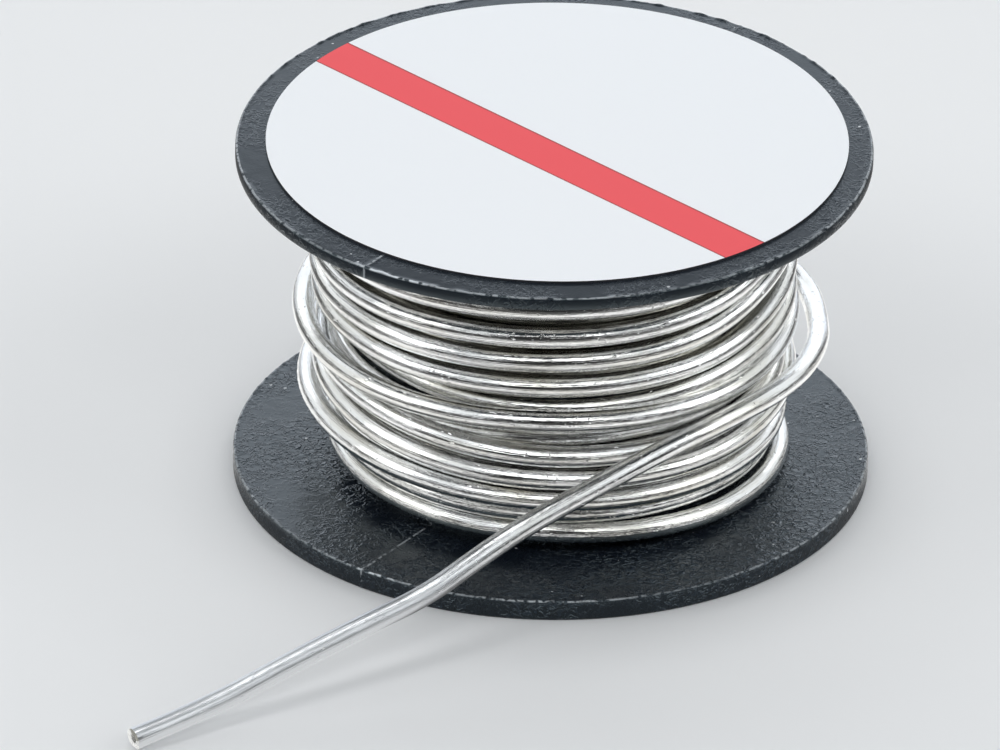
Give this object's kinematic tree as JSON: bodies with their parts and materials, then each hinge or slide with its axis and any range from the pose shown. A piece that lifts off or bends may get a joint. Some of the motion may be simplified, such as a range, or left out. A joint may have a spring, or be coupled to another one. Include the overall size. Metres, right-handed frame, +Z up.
{
  "type": "solder wire spool",
  "caption": "Moulded spool with flat flanges on a hollow hub, wound with flux-cored solder wire whose free end lies out in front.",
  "frame": {"origin": "centre of the lower flange's underside, on the spool's axis", "axes": "+Z up along the spool's axis; the wire's free end runs out towards -X and -Y, and the picture looks along +Y"},
  "size_m": [0.0335, 0.0417, 0.0167],
  "materials": {
    "spool_plastic": "black moulded plastic, pebbled",
    "label_print": "white coated paper with one plain red band",
    "solder": "bright drawn tin alloy",
    "flux": "dark rosin"
  },
  "bodies": {
    "root": {"lower_flange": "spool_plastic", "hub": "spool_plastic", "upper_flange": "spool_plastic", "label": "label_print", "inner_layers": "solder", "outer_layer": "solder", "free_end": "solder", "flux_core": "flux"}
  },
  "joints": []
}
